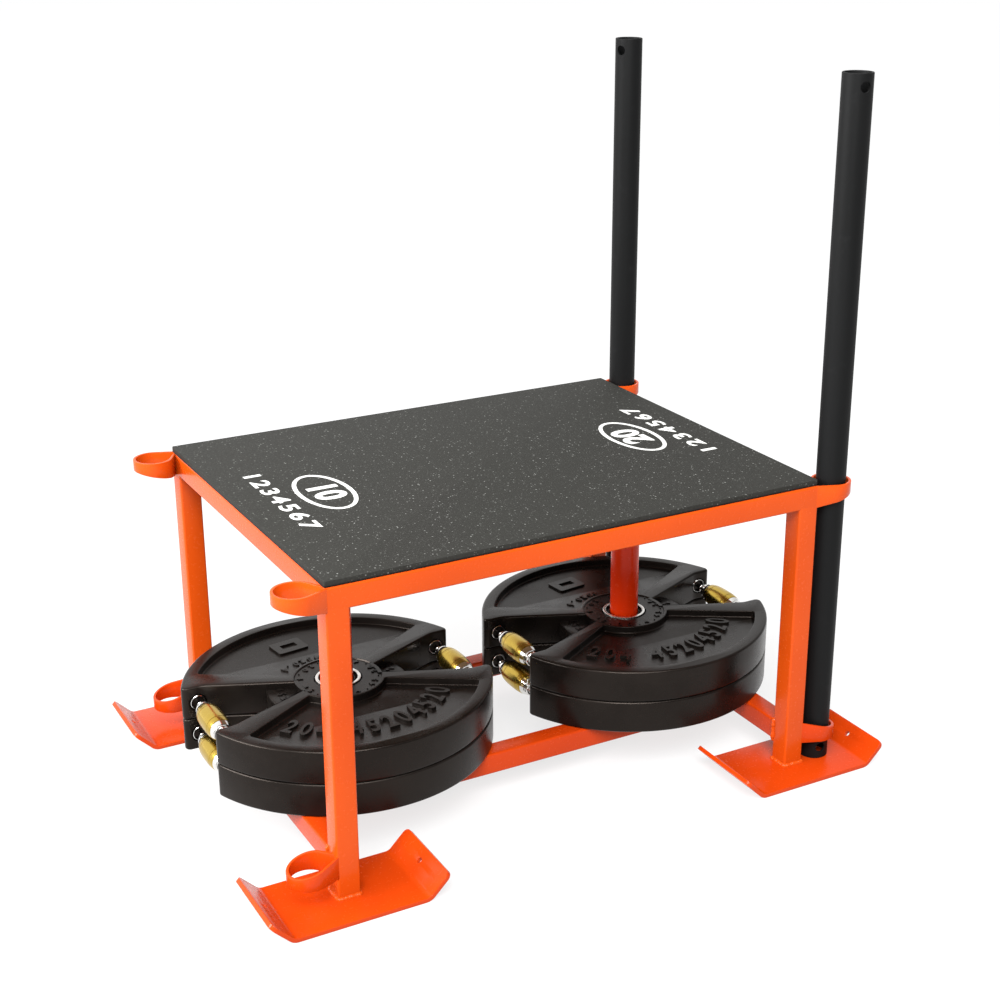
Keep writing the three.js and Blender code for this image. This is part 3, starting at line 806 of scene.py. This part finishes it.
plateSizes = {
    "radius": 225 * mm, "thick": 49.5 * mm, "edge": 3.6 * mm, "edgeSteps": 5, "rimWidth": 19 * mm, "boss": 68 * mm,
    "pocketDepth": 11 * mm, "pocketTurn": 0.545, "pocketFillet": 5 * mm, "mouth": 67.05 * mm, "apex": 28 * mm,
    "spread": 0.4084, "floor": 62 * mm, "notchFillet": 34 * mm, "lipFillet": 8 * mm, "web": 104 * mm,
    "webRecess": 12 * mm, "bore": 35.3 * mm, "socket": 13.3 * mm, "socketDepth": 6.3 * mm, "grip": 190 * mm,
    "bossEdge": 4 * mm, "bossSink": 1.8 * mm, "bossSlope": 1.2 * mm, "stackGap": 0.3 * mm, "brim": 1.2 * mm,
    "draft": 0.6 * mm, "hollow": 2.2 * mm, "roundSteps": 4, "webEdge": 3 * mm, "webTurn": 0.42, "webSink": 4 * mm,
    "socketReach": 12 * mm,
}


def plateOutline():
    s = plateSizes
    side = Vector((cos(s["spread"]), sin(s["spread"])))
    floorTurn = s["spread"] - asin(s["apex"] * side.y / s["floor"])
    corner = Vector((s["apex"] + s["mouth"] / tan(s["spread"]), s["mouth"]))
    start = corner - side * s["notchFillet"] * tan(s["spread"] / 2)
    hollow = Vector((start.x + s["notchFillet"] * side.y, start.y - s["notchFillet"] * side.x))
    lipHeight, lipReach = s["mouth"] + s["lipFillet"], s["radius"] - s["lipFillet"]
    lip = Vector((sqrt(lipReach ** 2 - lipHeight ** 2), lipHeight))
    rimTurn = atan2(lip.y, lip.x)
    first = arc(s["floor"], 0, floorTurn, 5)
    first += arc(s["notchFillet"], quarter + s["spread"], quarter, 8, hollow)
    first += arc(s["lipFillet"], -quarter, rimTurn, 8, lip)
    first += arc(s["radius"], rimTurn, quarter, 36)[1:]
    upper = first + [Vector((-p.x, p.y)) for p in reversed(first[:-1])]
    return upper + [Vector((p.x, -p.y)) for p in reversed(upper[1:-1])]


def pocketOutline():
    s = plateSizes
    rim, boss, fillet = s["radius"] - s["rimWidth"], s["boss"], s["pocketFillet"]
    rimTurn = s["pocketTurn"] + asin(fillet / (rim - fillet))
    bossTurn = s["pocketTurn"] + asin(fillet / (boss + fillet))
    rimCorner = Vector((cos(rimTurn), sin(rimTurn))) * (rim - fillet)
    bossCorner = Vector((cos(bossTurn), sin(bossTurn))) * (boss + fillet)
    sideTurn = s["pocketTurn"] - quarter
    half = arc(boss, quarter, bossTurn, 12)
    half += arc(fillet, bossTurn - pi, sideTurn, 6, bossCorner)[1:]
    half += arc(fillet, sideTurn, rimTurn, 6, rimCorner)
    half += arc(rim, rimTurn, quarter, 30)[1:]
    return half + [Vector((-p.x, p.y)) for p in reversed(half[1:-1])]


# the loop moved to the left of its direction by a distance
def offset(loop, distance):
    out = []
    count = len(loop)
    for i in range(count):
        a, b, c = loop[i - 1], loop[i], loop[(i + 1) % count]
        before, after = (b - a).normalized(), (c - b).normalized()
        normal = Vector((-(before + after).y, (before + after).x)).normalized()
        stretch = max(0.5, normal.dot(Vector((-before.y, before.x))))
        out.append(b + normal * distance / stretch)
    return out


def anticlockwise(loop):
    area = sum(a.x * b.y - b.x * a.y for a, b in zip(loop, loop[1:] + loop[:1]))
    return loop if area > 0 else loop[::-1]


# a mesh that is put together from walls and flat faces
class Shell:
    def __init__(self):
        self.points = []
        self.faces = []

    def add(self, points, faces):
        base = len(self.points)
        self.points += points
        self.faces += [tuple(base + i for i in face) for face in faces]

    def wall(self, loops):
        self.add(*skin(loops, ringed=False))

    # the region between an outer loop and holes, at height z
    def flat(self, outer, holes, z, up):
        loops = [raised(loop, 0) for loop in [outer] + holes]
        points = [p for loop in loops for p in raised(loop, z)]
        faces = []
        for tri in geometry.tessellate_polygon(loops):
            a, b, c = (points[i] for i in tri)
            rising = (b - a).cross(c - a).z > 0
            faces.append(tuple(tri) if rising == up else tuple(reversed(tri)))
        self.add(points, faces)

    def build(self, name):
        return tidy(fromFaces(name, self.points, self.faces, plateRubber), 40)


# steps of a quarter round, from the flat face on: distance inward and distance up
def quarterRound(radius, steps):
    turns = [quarter * i / steps for i in range(steps + 1)]
    return [(radius * (1 - sin(turn)), radius * (1 - cos(turn))) for turn in turns]


# a wall around a loop, rounded inward at both ends
def roundedWall(loop, low, high, radius, steps):
    bend = quarterRound(radius, steps)
    return ([raised(offset(loop, inward), low + rise) for inward, rise in bend]
            + [raised(offset(loop, inward), high - rise) for inward, rise in reversed(bend)])


def plateShape():
    s = plateSizes
    shell = Shell()
    outline = anticlockwise(plateOutline())
    top, draft, lip, steps = s["thick"], s["draft"], s["brim"], s["roundSteps"]
    shell.wall(roundedWall(outline, 0, top, s["edge"], s["edgeSteps"]))
    bore, bossRadius = circle(s["bore"], 72), s["boss"] - s["bossEdge"]
    bossRing, slope = circle(bossRadius, 96), circle(bossRadius - s["bossSlope"], 96)
    pockets = [anticlockwise([Vector((p.x, p.y * side)) for p in pocketOutline()]) for side in (1, -1)]
    for face, way, up in ((top, -1, True), (0, 1, False)):
        floor, sunk = face + way * s["pocketDepth"], face + way * s["bossSink"]
        for pocket in pockets:
            brim = [raised(offset(pocket, -out), face + way * down) for out, down in quarterRound(lip, steps)]
            foot = [raised(offset(pocket, draft + inward), floor - way * rise)
                    for inward, rise in reversed(quarterRound(s["hollow"], steps))]
            shell.wall(brim + foot)
            shell.flat(offset(pocket, draft + s["hollow"]), [], floor, up)
        holes = [offset(pocket, -lip) for pocket in pockets]
        shell.flat(offset(outline, s["edge"]), holes + [bossRing], face, up)
        shell.wall([raised(bossRing, face), raised(slope, sunk)])
        shell.flat(slope, [bore], sunk, up)
    shell.wall([raised(bore, s["bossSink"]), raised(bore, top - s["bossSink"])])
    made = shell.build("plate_shape")
    # sockets for the cups of the pins
    cutters = []
    for side in (1, -1):
        for end in (1, -1):
            start, stop = (Vector((end * s["grip"], side * (s["mouth"] + depth), top / 2))
                           for depth in (-s["socketReach"], s["socketDepth"]))
            cutters.append(rod("socket", s["socket"], start, stop, 48))
    return tidy(cut(made, cutters), 40)


# sunk web in the two notches
def plateWeb():
    s = plateSizes
    low, high, half = s["webRecess"], s["thick"] - s["webRecess"], s["webTurn"]
    parts = []
    for end in (0, pi):
        outer = arc(s["web"], end - half, end + half, 30)
        inner = arc(s["floor"] - s["webSink"], end + half, end - half, 20)
        loop = anticlockwise(outer + inner)
        shell = Shell()
        shell.wall(roundedWall(loop, low, high, s["webEdge"], 3))
        for z, up in ((low, False), (high, True)):
            shell.flat(offset(loop, s["webEdge"]), [], z, up)
        parts.append(shell.build("web"))
    return parts


# rows of raised plain numbers: radius, middle turn and pitch in radians, size, rise, stroke and width of each figure,
# and which depth of the plate its floor has
smallRow = {"words": "4520", "radius": 86 * mm, "turn": 0, "pitch": 0.17, "size": 17 * mm, "rise": 1.6 * mm,
            "bold": 0.5 * mm, "wide": 0.85, "floor": "webRecess"}
figureRows = [
    {"words": "204 45204520", "radius": 150 * mm, "turn": -1.56, "pitch": 0.158, "size": 50 * mm, "rise": 3.8 * mm,
     "bold": 0.95 * mm, "wide": 0.66, "floor": "pocketDepth"},
    {**smallRow, "words": "4520.4", "radius": 93 * mm, "turn": 1.85, "pitch": 0.13, "rise": 1.8 * mm,
     "floor": "pocketDepth"},
    {**smallRow, "words": "45.20.4.45.20.4.45.20.4.", "radius": 55.5 * mm, "pitch": pi / 12, "size": 13 * mm,
     "bold": 0.4 * mm, "wide": 0.9, "floor": "bossSink"},
    smallRow, {**smallRow, "turn": pi},
]
badgeSizes = {
    "radius": 148 * mm, "turn": 1.70, "size": (50 * mm, 38 * mm), "corner": (4 * mm, 1.5 * mm), "line": 12.5 * mm,
    "rise": 3.4 * mm, "floor": "pocketDepth",
}
figureSink = 0.2 * mm


def plateFigures():
    parts = []
    top = plateSizes["thick"]
    flip = shift(0, 0, top) @ Matrix.Rotation(pi, 4, "X")

    # a raised part on both faces; it stands upright for someone who looks in from the rim
    def lay(s, along, make):
        radius, turn = s["radius"], s["turn"] + along
        spot = shift(radius * cos(turn), radius * sin(turn), top - plateSizes[s["floor"]] - figureSink)
        spot = spot @ Matrix.Rotation(turn + quarter, 4, "Z")
        parts.extend([move(make(), spot), move(make(), flip @ spot)])

    for row in figureRows:
        for sign, along in spaced(row):
            lay(row, along, lambda: figures("figure", sign, row, plateRubber, figureSink))

    # an open square
    def badge():
        b = badgeSizes
        rise, (width, height) = b["rise"] + figureSink, b["size"]
        plans = [roundedRectangle(width - 2 * inward, height - 2 * inward, corner, 4)
                 for inward, corner in zip((0, b["line"]), b["corner"])]
        loops = [raised(plans[inner], z) for inner, z in ((0, 0), (0, rise), (1, rise), (1, 0))]
        return tidy(fromFaces("badge", *skin(loops), plateRubber))

    lay(badgeSizes, 0, badge)
    return parts


gripSizes = {
    "pin": 4.5 * mm, "cup": 13 * mm, "cupWall": 1.2 * mm, "cupDepth": 6 * mm, "cupFloor": 2 * mm,
    "cupLip": 1 * mm, "cupEdge": 0.5 * mm, "sleeve": 90.1 * mm, "bore": 4.9 * mm, "waist": 20 * mm, "shoulder": 15 * mm,
    "fullness": 3, "endLength": 8 * mm, "play": 0.5 * mm, "barrelSteps": 24, "sides": 64, "pinSides": 48,
    # turned collar of the sleeve, and the pin outside it: (radius, distance outward)
    "collar": ((13.6, 0.4), (13.6, 1.5), (14.4, 1.9), (14.4, 3.6), (12.7, 4.0), (12.7, 5.0), (13.4, 5.4), (13.2, 7.2),
               (12.2, 8.0)),
    "knob": ((9.0, 0), (9.8, 0.7), (9.8, 3.2), (9.0, 3.9), (6.4, 4.4), (6.4, 7.6), (7.6, 8.2), (8.2, 8.8),
             (8.2, 10.6), (7.6, 11.2), (5.4, 11.8)),
    "groove": (0.8 * mm, 1.3 * mm), "grooves": (0.50, 0.78),    # depth and width, and where, as shares of the barrel
}
hubSizes = {
    "radius": 35.2 * mm, "bore": 25.2 * mm, "lip": 4.6 * mm, "wall": 1.6 * mm, "recess": 7 * mm, "edge": 0.8 * mm,
    "sides": 96,
}


# a whole profile from the half above the middle, and what lies between the halves
def bothEnds(half, between=()):
    return [(radius, -height) for radius, height in reversed(half)] + list(between) + half


# a second finish for some faces, picked by their farthest reach from the axis and their height
def twoFinishes(made, finish, picked):
    made.data.materials.append(finish)
    for face in made.data.polygons:
        reach = max(made.data.vertices[corner].co.xy.length for corner in face.vertices)
        if picked(reach, abs(face.center.z)):
            face.material_index = 1
    return made


# brass barrel with turned grooves and bright ends
def sleeveShape():
    s = gripSizes
    half = s["sleeve"] / 2
    barrel = half - s["endLength"]
    depth, width = s["groove"]
    places = [(i / s["barrelSteps"] * barrel, 0) for i in range(-s["barrelSteps"], s["barrelSteps"] + 1)]
    for share in s["grooves"]:
        for middle in (-share * barrel, share * barrel):
            places = [spot for spot in places if abs(spot[0] - middle) > width]
            places += [(middle - width / 2, 0), (middle - width / 4, depth), (middle + width / 4, depth),
                       (middle + width / 2, 0)]
    profile = []
    for height, sunk in sorted(places):
        swell = (s["waist"] - s["shoulder"]) * (1 - abs(height / barrel) ** s["fullness"])
        profile.append((s["shoulder"] + swell - sunk, height))
    collar = [(radius * mm, barrel + out * mm) for radius, out in s["collar"]]
    collar += [(s["bore"] + s["cupEdge"], half), (s["bore"], half - s["cupEdge"])]
    made = turned("sleeve_shape", bothEnds(collar, profile), s["sides"], brass, 25)
    return twoFinishes(made, chrome, lambda reach, height: height > max(s["grooves"]) * barrel)


# chrome pin with a cup at each end; the inside of each cup is painted with the dark plate rubber, as painted shade and
# a painted reflection of the dark plate
def pinShape():
    s = gripSizes
    wall, half = plateSizes["mouth"], s["sleeve"] / 2 + s["play"]
    end, floor = wall + s["cupDepth"], wall + s["cupDepth"] - s["cupFloor"]
    lip, inner, edge = wall - s["cupLip"], s["cup"] - s["cupWall"], s["cupEdge"]
    run = [(s["pin"], half)] + [(radius * mm, half + out * mm) for radius, out in s["knob"]]
    run += [(s["knob"][-1][0] * mm, floor), (inner, floor), (inner, lip + edge), (inner + edge, lip),
            (s["cup"] - edge, lip), (s["cup"], lip + edge), (s["cup"], end), (coreRadius / 20, end)]
    made = turned("pin_shape", bothEnds(run), s["pinSides"], chrome, 25)
    # the cup's inside takes the dark rubber finish: painted shade and painted reflection
    return twoFinishes(made, plateRubber, lambda reach, height: (
        lip + edge / 2 < height < end - edge and s["pin"] + edge < reach < inner + edge / 2))


def hubShape():
    s = hubSizes
    top = plateSizes["thick"]
    lip, wall, recess, edge = s["radius"] - s["lip"], s["bore"] + s["wall"], s["recess"], s["edge"]
    low = [(s["bore"], recess / 2), (wall, recess / 2), (wall, recess), (lip, recess), (lip, 0), (s["radius"], 0)]
    profile = rounded(low + [(radius, top - height) for radius, height in reversed(low)], edge, 3)
    made = turned("hub_shape", profile, s["sides"], steel, 25)
    # painted shade: the recessed faces inside the lip of the steel ring are given the plate's dark rubber
    return twoFinishes(made, plateRubber, lambda reach, height: reach < lip + edge / 2 and edge < height < top - edge)


def plateStacks():
    plate = joined("plate_body", [plateShape()] + plateWeb() + plateFigures(), plateRubber)
    tidy(plate, 40)
    sleeve, pin, hub = sleeveShape(), pinShape(), hubShape()
    across = Matrix.Rotation(quarter, 4, "X")
    top = plateSizes["thick"]

    def put(shape, node, spot, body):
        fit(copyOf(shape, node + "_body", spot), node, body)

    for stack, sx in stacks:
        for level, below in levels:
            base = plateFloor + below * (top + plateSizes["stackGap"])
            spot = shift(sx * hornX, 0, base)
            tag = f"{stack}_{level}"
            body = f"plate_set_{tag}"
            put(plate, f"plate_{tag}", spot, body)
            put(hub, f"hub_ring_{tag}", spot, body)
            for end, sign in (("outer", sx), ("inner", -sx)):
                grip = shift(sx * hornX + sign * plateSizes["grip"], 0, base + top / 2) @ across
                put(pin, f"grip_pin_{tag}_{end}", grip, body)
                put(sleeve, f"grip_sleeve_{tag}_{end}", grip, f"sleeve_{tag}_{end}")
    for shape in (plate, sleeve, pin, hub):
        drop(shape)


plateStacks()
print("plates made")


weldSizes = {
    "Pitch": 2.7 * mm, "Drop Radius": 3.7 * mm, "Seed": 7, "Spread": 0.14,    # inputs of the node group
    "lift": 0.2 * mm, "corner": 3 * mm,
}


# drops of different sizes along the joints
def weldNodes(group, given):
    curve = group.node("GeometryNodeMeshToCurve", inputs={"Mesh": given["Joints"]})
    points = group.node("GeometryNodeCurveToPoints", {"mode": "LENGTH"}, {"Curve": curve, "Length": given["Pitch"]})
    ball = group.node("GeometryNodeMeshUVSphere", inputs={"Segments": 8, "Rings": 5, "Radius": given["Drop Radius"]})
    smooth = group.node("GeometryNodeSetShadeSmooth", inputs={"Geometry": ball})
    size = group.node("FunctionNodeRandomValue", inputs={
        2: 1 - given["Spread"], 3: 1 + given["Spread"], "Seed": given["Seed"]}, output=1)
    return group.node("GeometryNodeInstanceOnPoints", inputs={"Points": points, "Instance": smooth, "Scale": size})


def weldPaths():
    f = frameSizes
    side, half = f["side"], f["side"] / 2
    beamY, beamZ = f["beamSpread"] / 2, f["beamTop"] - half
    eachX, eachY, eachZ = Vector((1, 0, 0)), Vector((0, 1, 0)), Vector((0, 0, 1))
    paths = []

    def around(centre, a, b, wide=side):
        plan = roundedRectangle(wide, side, weldSizes["corner"], 3)
        paths.append([Vector(centre) + a * p.x + b * p.y for p in plan + plan[:1]])

    for _, sx, sy in corners:
        around((sx * legX, sy * legY, f["footTop"] + weldSizes["lift"]), eachX, eachY)
        around((sx * legX, sy * (legY - half), beamZ), eachX, eachZ)
    for _, sx in stacks:
        for _, sy in rows:
            around((sx * (legX - half), sy * beamY, beamZ), eachY, eachZ)
            around((sx * hornX, sy * (beamY - half), beamZ), eachX, eachZ, f["bearerWidth"])
        paths.append(raised(arc(hornSizes["radius"], 0, 2 * pi, 48, (sx * hornX, 0)), f["beamTop"]))
    return paths


def weldBeads():
    points, edges = [], []
    for path in weldPaths():
        edges += [(i, i + 1) for i in range(len(points), len(points) + len(path) - 1)]
        points += path
    inputs = {"Joints": "Geometry", "Pitch": "Float", "Drop Radius": "Float", "Spread": "Float", "Seed": "Int"}
    made = grown("weld_beads", points, edges, orange, pieceGroup("weld_bead", inputs, weldNodes), weldSizes)
    fit(made, None, "frame")


weldBeads()
print("welds made")


studioSet = {
    "floor": 60, "floorDrop": 0.3 * mm, "floorTone": 0.16, "floorGlow": 0.76,
    "airSide": (-0.55, 0.8, 0.2), "airLow": 0.22, "airHigh": 1.5, "horizon": (0.035, 0.07), "horizonGlow": 0.8,
    "key": ((-1.5, -2.9, 3.5), (2.4, 2.4), 290), "side": ((-3.4, 0.5, 2.1), (2.4, 1.6), 245),    # place, size, power
    "aim": (0, 0, 0.3), "sunTurn": (34, 0, -28), "sun": 2.2, "sunSpread": 50,    # degrees
}


# soft air that is bright behind and to the left, dim in front, and white along the horizon
def studioAir():
    s = studioSet
    world = bpy.data.worlds.new("studio_air")
    world.use_nodes = True
    air = Nodes(world.node_tree)
    way = air.node("ShaderNodeTexCoord", output="Generated")
    toward = air.node("ShaderNodeVectorMath", {"operation": "DOT_PRODUCT"}, {0: way, 1: s["airSide"]}, output="Value")
    height = air.node("ShaderNodeSeparateXYZ", inputs={0: way}, output="Z")
    band = air.ramp(height, *s["horizon"], s["horizonGlow"], 0)
    strength = air.ramp(toward, -0.7, 0.8, s["airLow"], s["airHigh"]) + band
    glow = air.node("ShaderNodeBackground", inputs={"Color": (1, 1, 1), "Strength": strength})
    air.node("ShaderNodeOutputWorld", inputs={"Surface": glow})
    bpy.context.scene.world = world


def studio():
    s = studioSet
    size, tone, low = s["floor"], s["floorTone"], -s["floorDrop"]
    white = Look("studio_white", Roughness=0.9, Specular_IOR_Level=0, Base_Color=(tone, tone, tone),
                 Emission_Color=(1, 1, 1), Emission_Strength=s["floorGlow"])
    edge = [(-size, -size, low), (size, -size, low), (size, size, low), (-size, size, low)]
    fromFaces("studio_floor", edge, [(0, 1, 2, 3)], white.material)
    bpy.context.scene.view_settings.view_transform = "Standard"
    for name in ("key", "side"):
        place, size, power = s[name]
        light = bpy.data.lights.new(name + "_softbox", "AREA")
        light.shape = "RECTANGLE"
        light.size, light.size_y = size
        light.energy = power
        held = linked(name + "_softbox", light)
        held.location = place
        held.rotation_euler = (Vector(s["aim"]) - Vector(place)).to_track_quat("-Z", "Y").to_euler()
    sun = bpy.data.lights.new("ceiling_light", "SUN")
    sun.energy, sun.angle = s["sun"], radians(s["sunSpread"])
    linked("ceiling_light", sun).rotation_euler = [radians(turn) for turn in s["sunTurn"]]


cameraSet = {
    "place": (-1.07188, -2.04393, 1.25952), "turn": -28.926, "rise": 20.263, "roll": -0.036,    # degrees
    "lens": 60.2525, "sensor": 36, "shift": (-0.02025, -0.00586), "clip": (0.05, 60),
}


def camera():
    s = cameraSet
    turn, rise, roll = (radians(s[key]) for key in ("turn", "rise", "roll"))
    back = Vector((sin(turn) * cos(rise), -cos(turn) * cos(rise), sin(rise)))
    right = Vector((cos(turn), sin(turn), 0))
    facing = Matrix((right, back.cross(right), back)).transposed() @ Matrix.Rotation(roll, 3, "Z")
    eye = bpy.data.cameras.new("photo_camera")
    eye.lens, eye.sensor_width = s["lens"], s["sensor"]
    eye.shift_x, eye.shift_y = s["shift"]
    eye.clip_start, eye.clip_end = s["clip"]
    held = linked("photo_camera", eye)
    held.matrix_world = Matrix.Translation(s["place"]) @ facing.to_4x4()
    bpy.context.scene.camera = held


studioAir()
studio()
camera()
bpy.context.view_layer.update()
print("studio made")
